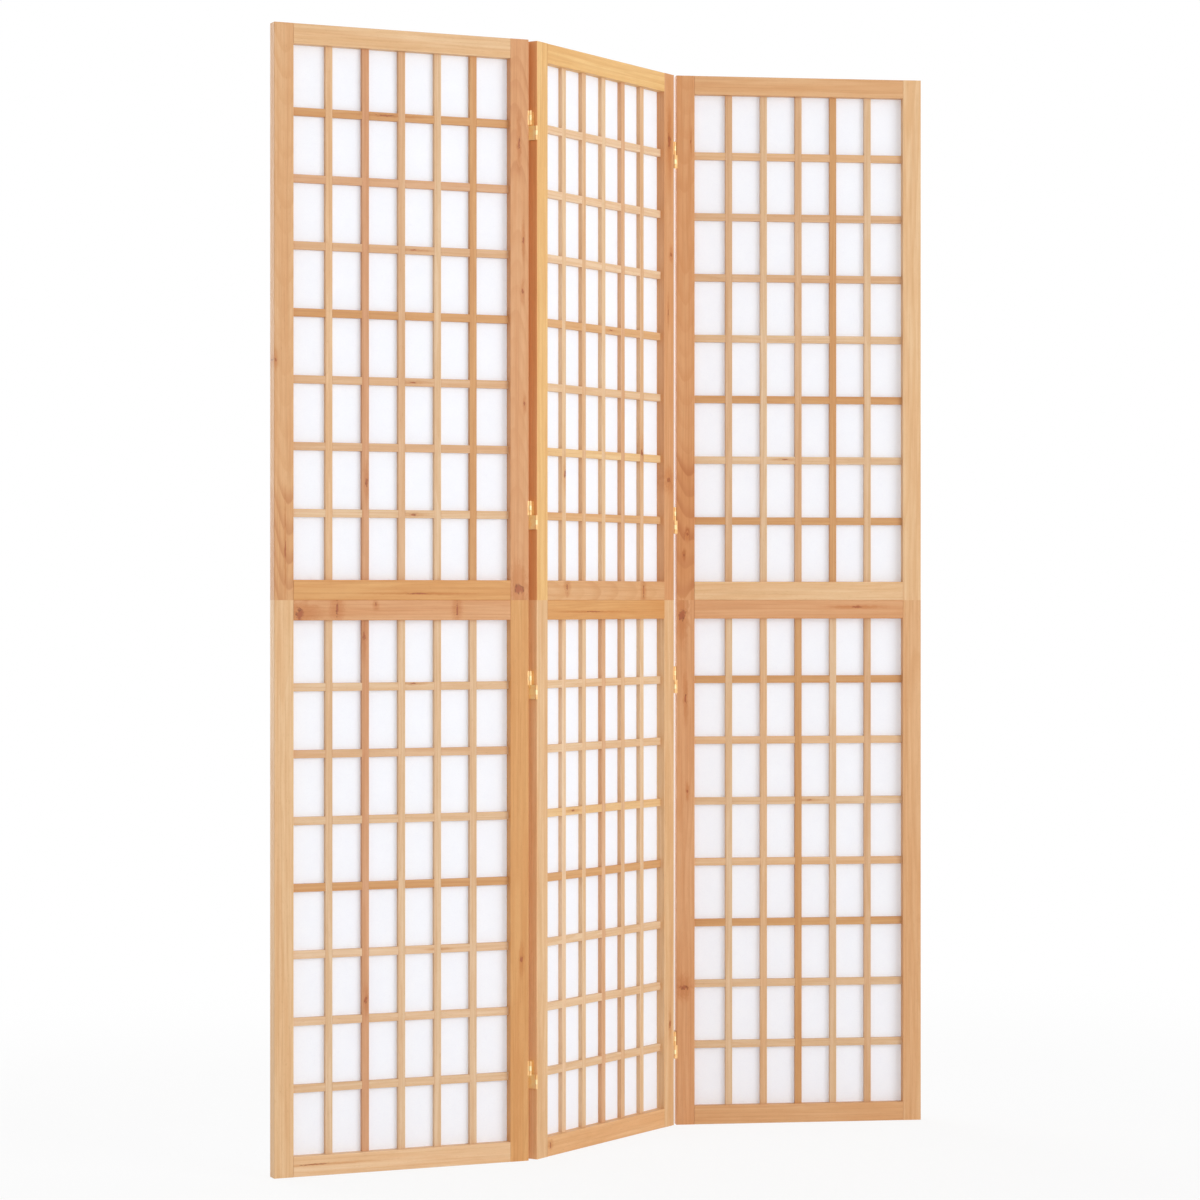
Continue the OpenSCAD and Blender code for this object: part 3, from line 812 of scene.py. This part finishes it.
# Paper sheets, glued behind the bars and in the frames' rebates
paperSheet = {
    "width": openWidth + 2 * screen["paperReach"],
    "height": openHeight + 2 * screen["paperReach"],
    "thickness": 0.0003,
    "slack": 0.0005,
    "stepsAcross": 6,
    "stepsUp": 9,
    "colour": (240, 243, 255),
    "fibreColour": (234, 236, 251),
    "fibreShare": 0.5,
    "fibreScales": ((260.0, 200.0, 90.0), (110.0, 200.0, 280.0)),
    "fibreShifts": (3.0, 17.0),
    "fibreBend": 1.2,
    "fibreEdge": (0.022, 0.004),
    "fibreGloss": 0.1,
    "fibreRelief": 0.4,
    "cloudShare": 0.25,
    "cloudScale": 38.0,
    "cloudEdge": (0.3, 0.8),
    "cloudRelief": 0.6,
    # painted shadow of the bars and the rebate, seen on the back of the paper
    "barGhost": (228, 216, 204),
    "ghostShare": 0.55,
    "ghostMargin": (0.008, 0.014),
    "ghostEdge": (-0.0006, 0.0004),
    "ghostDepth": (0.00012, 0.00022),
    "roughness": 0.82,
    "specular": 0.2,
    "translucence": 0.6,
    "scatter": 0.001,
    "reliefStrength": 0.25,
    "reliefDepth": 0.0002,
    "seed": 90,
}


def makeFibres():
    outputs = [("Fibres", "Float"), ("Clouds", "Float")]
    tree, given, result = newGroup("paperFibres", [("Vector", "Vector", None)], outputs)
    strands = []
    for scale, shift in zip(paperSheet["fibreScales"], paperSheet["fibreShifts"]):
        placed = vectorMath(tree, "MULTIPLY", given["Vector"], scale)
        ridges = softNoise(tree, vectorMath(tree, "ADD", placed, (shift,) * 3), 2.0, paperSheet["fibreBend"])
        middle = calculate(tree, "ABSOLUTE", calculate(tree, "SUBTRACT", ridges, 0.5))
        strands.append(smoothStep(tree, middle, *paperSheet["fibreEdge"]))
    evenly = (paperSheet["cloudScale"],) * 3
    clouds = softNoise(tree, vectorMath(tree, "MULTIPLY", given["Vector"], evenly), 3.0)
    feed(tree, result["Fibres"], calculate(tree, "MAXIMUM", *strands))
    feed(tree, result["Clouds"], clouds)
    return tree


paperFibres = makeFibres()


def paintedBarShadows(tree, place):  # painted shadow of the bars and the rebate on the back of a sheet, where they block light through the paper
    ways, shadowMasks = parted(tree, place), []
    rows = ((ways[0], pitchAcross, screen["uprightWidth"], openWidth),
            (ways[2], pitchUp, screen["crossWidth"], openHeight))
    inner, outer = paperSheet["ghostEdge"]
    for way, pitch, width, opening in rows:
        number = calculate(tree, "ROUND", calculate(tree, "DIVIDE", way, pitch))
        away = calculate(tree, "SUBTRACT", way, calculate(tree, "MULTIPLY", number, pitch))
        onBar = smoothStep(tree, calculate(tree, "ABSOLUTE", away), width / 2 + outer, width / 2 + inner)
        out = calculate(tree, "ABSOLUTE", way)
        inField = smoothStep(tree, out, *(opening / 2 - margin for margin in paperSheet["ghostMargin"]))
        rebate = smoothStep(tree, out, opening / 2 + inner, opening / 2 + outer)
        shadowMasks.append(calculate(tree, "MAXIMUM", calculate(tree, "MULTIPLY", onBar, inField), rebate))
    behind = smoothStep(tree, ways[1], *(screen["barBack"] + depth for depth in paperSheet["ghostDepth"]))
    return calculate(tree, "MULTIPLY", calculate(tree, "MAXIMUM", *shadowMasks), behind)


def paperMaterial(panel, half):
    material, tree, shader = newMaterial("paper_" + panel + "_" + half)
    place = boardCoordinates(tree, panel, (0, 0, halfMiddle(half)), False)
    fibres = useGroup(tree, paperFibres, Vector=place)
    base, fibre, shadowTint = (linear(*paperSheet[label]) for label in ("colour", "fibreColour", "barGhost"))
    strands = calculate(tree, "MULTIPLY", fibres["Fibres"], paperSheet["fibreShare"])
    clouds = smoothStep(tree, fibres["Clouds"], *paperSheet["cloudEdge"], 0.0, paperSheet["cloudShare"])
    # painted bar shadow on the back of the sheet
    through = calculate(tree, "MULTIPLY", paintedBarShadows(tree, place), paperSheet["ghostShare"])
    colour = mixColour(tree, clouds, mixColour(tree, strands, base, fibre), fibre)
    feed(tree, shader.inputs["Base Color"], mixColour(tree, through, colour, shadowTint))
    gloss, roughness = paperSheet["fibreGloss"], paperSheet["roughness"]
    rough = calculate(tree, "MULTIPLY_ADD", fibres["Fibres"], -gloss, roughness)
    feed(tree, shader.inputs["Roughness"], rough)
    shader.inputs["Specular IOR Level"].default_value = paperSheet["specular"]
    shader.inputs["Subsurface Weight"].default_value = paperSheet["translucence"]
    shader.inputs["Subsurface Radius"].default_value = (1.0, 1.0, 1.0)
    shader.inputs["Subsurface Scale"].default_value = paperSheet["scatter"]
    raised = calculate(tree, "MULTIPLY", fibres["Fibres"], paperSheet["fibreRelief"])
    height = calculate(tree, "MULTIPLY_ADD", fibres["Clouds"], paperSheet["cloudRelief"], raised)
    relief(tree, shader, height, paperSheet["reliefStrength"], paperSheet["reliefDepth"])
    return material


def sheetLines(size, opening, pitch, count, bar, steps):
    lines, inside = [-size / 2, -opening / 2], []
    for cell in range(count):
        start = -opening / 2 if cell == 0 else (cell - count / 2) * pitch + bar / 2
        end = opening / 2 if cell == count - 1 else (cell + 1 - count / 2) * pitch - bar / 2
        for step in range(steps + 1):
            value = start + (end - start) * step / steps
            if value > lines[-1] + 1e-6:
                lines.append(value)
        inside.append((start, end))
    return lines + [size / 2], inside


def sheetShell(wide, tall):  # front, back and rim faces of a sheet of wide by tall points in two layers
    faces, back = [], wide * tall
    for j in range(tall - 1):
        for i in range(wide - 1):
            a, b, c, d = j * wide + i, j * wide + i + 1, (j + 1) * wide + i + 1, (j + 1) * wide + i
            faces += [(a, b, c, d), (a + back, d + back, c + back, b + back)]
    rim = list(range(wide)) + [j * wide + wide - 1 for j in range(1, tall)]
    rim += [(tall - 1) * wide + i for i in range(wide - 2, -1, -1)]
    rim += [j * wide for j in range(tall - 2, 0, -1)]
    edges = [(a, a + back, b + back, b) for a, b in zip(rim, rim[1:] + rim[:1])]
    smooth = [True] * len(faces) + [False] * len(edges)
    return faces + edges, smooth


def makePaper(panel, half, seed):
    chance = random.Random(seed)
    across, cellsX = sheetLines(paperSheet["width"], openWidth, pitchAcross, screen["cellsAcross"],
                                screen["uprightWidth"], paperSheet["stepsAcross"])
    up, cellsZ = sheetLines(paperSheet["height"], openHeight, pitchUp, screen["cellsUp"],
                            screen["crossWidth"], paperSheet["stepsUp"])
    cells = [(i, j) for i in range(len(cellsX)) for j in range(len(cellsZ))]
    slack = {cell: paperSheet["slack"] * chance.uniform(0.2, 1.0) for cell in cells}

    def give(value, spans):  # which cell a line lies in, and how far between its bars
        for index, (start, end) in enumerate(spans):
            if start < value < end:
                return index, (value - start) / (end - start)
        return None, 0

    place, middle = panelPlace(panel), halfMiddle(half)
    points = []
    for layer in (0.0, paperSheet["thickness"]):
        for z in up:
            j, v = give(z, cellsZ)
            for x in across:
                i, u = give(x, cellsX)
                sag = 0 if i is None or j is None else slack[i, j] * 16 * u * (1 - u) * v * (1 - v)
                points.append(place @ Vector((x, screen["barBack"] + layer + sag, middle + z)))
    faces, smooth = sheetShell(len(across), len(up))
    frameName = panel + "_" + half
    mesh = bpy.data.meshes.new(frameName + "_paper_sheet")
    mesh.from_pydata(points, [], faces)
    mesh.polygons.foreach_set("use_smooth", smooth)
    mesh.materials.append(paperMaterial(panel, half))
    mesh.update()
    piece = bpy.data.objects.new(frameName + "_paper_sheet", mesh)
    bpy.context.scene.collection.objects.link(piece)
    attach(piece, panel + "_panel")
    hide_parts(frameName + "_paper")


for index, frameName in enumerate(frameWood):
    makePaper(*frameName.split("_"), seed=paperSheet["seed"] + index)
print("paper: 6 sheets")

# Floor, background and lamps
studio = {
    "floorSize": 30.0,
    "floorColour": (246, 246, 246),
    "floorRoughness": 0.9,
    "shadowNear": 0.9,
    "shadowFar": 2.6,
    "shadowShare": 0.16,
    "ambient": 0.68,
    "lamps": {
        "key": {"at": (-0.4, -6.0, 1.9), "towards": (0.0, 0.0, 0.7), "size": 3.6, "watts": 126},
        "fill": {"at": (-5.0, -3.0, 1.6), "towards": (0.0, 0.0, 0.8), "size": 3.0, "watts": 14},
        "back": {"at": (1.8, 4.6, 1.5), "towards": (0.0, 0.0, 0.8), "size": 3.5, "watts": 114},
    },
}


def seenPlainly(tree):  # 1 for rays that show the background, straight or in metal and glass
    rays = addNode(tree, "ShaderNodeLightPath").outputs
    inShine = calculate(tree, "MAXIMUM", rays["Is Glossy Ray"], rays["Is Transmission Ray"])
    return calculate(tree, "MAXIMUM", rays["Is Camera Ray"], inShine)


def makeFloor():
    half = studio["floorSize"] / 2
    mesh = bpy.data.meshes.new("floor")
    corners = [(-half, -half, 0), (half, -half, 0), (half, half, 0), (-half, half, 0)]
    mesh.from_pydata(corners, [], [(0, 1, 2, 3)])
    material, tree, shader = newMaterial("floorWhite")
    shader.inputs["Base Color"].default_value = linear(*studio["floorColour"])
    shader.inputs["Roughness"].default_value = studio["floorRoughness"]
    shader.inputs["Specular IOR Level"].default_value = 0.0
    glow = addNode(tree, "ShaderNodeEmission")
    glow.inputs["Strength"].default_value = 1.0
    place = addNode(tree, "ShaderNodeTexCoord").outputs["Object"]
    far = vectorMath(tree, "LENGTH", place, output="Value")
    share = smoothStep(tree, far, studio["shadowNear"], studio["shadowFar"], 1 - studio["shadowShare"], 1.0)
    mix = addNode(tree, "ShaderNodeMixShader")
    feed(tree, mix.inputs[0], calculate(tree, "MULTIPLY", share, seenPlainly(tree)))
    feed(tree, mix.inputs[1], shader.outputs[0])
    feed(tree, mix.inputs[2], glow.outputs[0])
    feed(tree, tree.nodes["Material Output"].inputs["Surface"], mix.outputs[0])
    mesh.materials.append(material)
    floor = bpy.data.objects.new("floor", mesh)
    bpy.context.scene.collection.objects.link(floor)


def makeWorld():
    world = bpy.data.worlds.new("studio")
    world.use_nodes = True
    tree = world.node_tree
    light = tree.nodes["Background"]
    light.inputs["Color"].default_value = (1.0, 1.0, 1.0, 1.0)
    strength = calculate(tree, "MULTIPLY_ADD", seenPlainly(tree), 1.0 - studio["ambient"], studio["ambient"])
    feed(tree, light.inputs["Strength"], strength)
    bpy.context.scene.world = world


def makeLamps():
    for name, lamp in studio["lamps"].items():
        light = bpy.data.lights.new(name, "AREA")
        light.shape, light.size, light.energy = "SQUARE", lamp["size"], lamp["watts"]
        holder = bpy.data.objects.new(name, light)
        holder.location = lamp["at"]
        aim = Vector(lamp["towards"]) - Vector(lamp["at"])
        holder.rotation_euler = aim.to_track_quat("-Z", "Y").to_euler()
        holder.visible_camera = False
        bpy.context.scene.collection.objects.link(holder)


makeFloor()
makeWorld()
makeLamps()
bpy.context.scene.view_settings.view_transform = "Standard"
print("floor, background and lamps")

# Camera level with the middle of the screen, at the photograph's place
view = {"at": (-4.5791, -2.8742, 0.8502), "heading": 57.845, "lens": 103.24, "sensor": 36.0}


def makeCamera():
    camera = bpy.data.cameras.new("camera")
    camera.sensor_width, camera.lens = view["sensor"], view["lens"]
    camera.clip_start, camera.clip_end = 0.1, 60.0
    holder = bpy.data.objects.new("camera", camera)
    holder.location = view["at"]
    holder.rotation_euler = (math.radians(90), 0, math.radians(-view["heading"]))
    bpy.context.scene.collection.objects.link(holder)
    bpy.context.scene.camera = holder


makeCamera()
